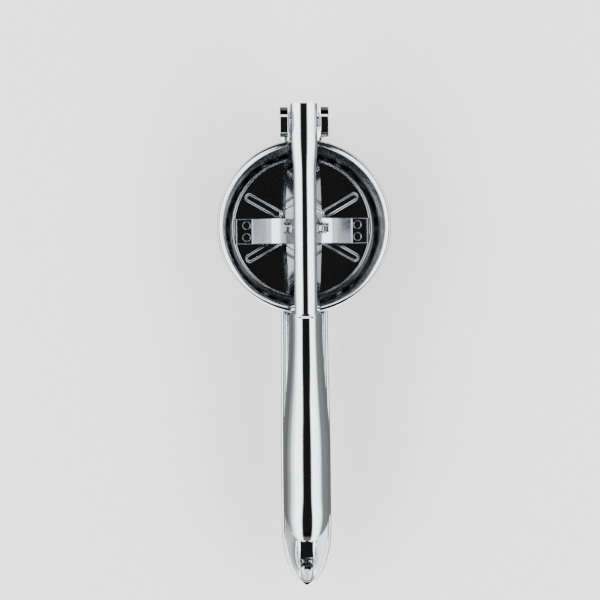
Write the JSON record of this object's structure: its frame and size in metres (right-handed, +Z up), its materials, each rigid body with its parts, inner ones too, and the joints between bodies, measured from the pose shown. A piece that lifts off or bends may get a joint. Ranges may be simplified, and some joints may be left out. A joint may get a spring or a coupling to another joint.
{
  "type": "potato ricer",
  "caption": "Hand press with a deep round perforated basket, a trough-shaped lower handle and a hinged upper lever that drives a ribbed pressing disc down into the basket.",
  "frame": {"origin": "centre of the basket's flat underside", "axes": "+Z up out of the basket's mouth, +Y from the basket towards the lever's hinge, so both handles run towards -Y, +X to the right seen from above with the hinge at the top"},
  "size_m": [0.094, 0.2586, 0.0778],
  "materials": {
    "basket_steel": "mirror polished stainless steel",
    "handle_steel": "mirror polished stainless steel",
    "bracket_steel": "polished pressed stainless steel",
    "disc_steel": "mirror polished pressed stainless steel",
    "fastener_steel": "turned and peened steel"
  },
  "bodies": {
    "basket_frame": {"basket": "basket_steel", "hinge_bracket": "bracket_steel", "hinge_rivet_left": "fastener_steel", "hinge_rivet_right": "fastener_steel", "hinge_rivet_lower": "fastener_steel", "hinge_pin": "fastener_steel", "hinge_pin_cap": "fastener_steel", "handle_bracket": "bracket_steel", "handle_rivet_left": "fastener_steel", "handle_rivet_right": "fastener_steel", "lower_handle": "handle_steel", "tongue_rivet_front": "fastener_steel", "tongue_rivet_rear": "fastener_steel"},
    "lever": {"lever_arm": "handle_steel", "upper_grip": "handle_steel", "grip_stud_front": "fastener_steel", "grip_stud_rear": "fastener_steel", "hinge_bush": "fastener_steel", "hinge_washer_left": "fastener_steel", "hinge_washer_right": "fastener_steel", "plunger_pin": "fastener_steel", "plunger_pin_washer": "fastener_steel", "plunger_pin_clip": "fastener_steel"},
    "plunger": {"plunger_disc": "disc_steel", "plunger_strap": "bracket_steel", "strap_rivet_1": "fastener_steel", "strap_rivet_2": "fastener_steel", "strap_rivet_3": "fastener_steel", "strap_rivet_4": "fastener_steel", "plunger_bush": "fastener_steel", "plunger_spacer_left": "fastener_steel", "plunger_spacer_right": "fastener_steel"}
  },
  "joints": [
    {"name": "lever_hinge", "type": "hinge", "parent": "basket_frame", "child": "lever", "pos_m": [0, 0.0547, 0.07], "axis": [-1, 0, 0], "range_deg": [0, 52]},
    {"name": "plunger_swing", "type": "hinge", "parent": "lever", "child": "plunger", "pos_m": [0, -0.001, 0.048], "axis": [-1, 0, 0], "range_deg": [-52, 0]}
  ],
  "couplings": [
    {"joint": "plunger_swing", "follows": "lever_hinge", "ratio": -1}
  ]
}
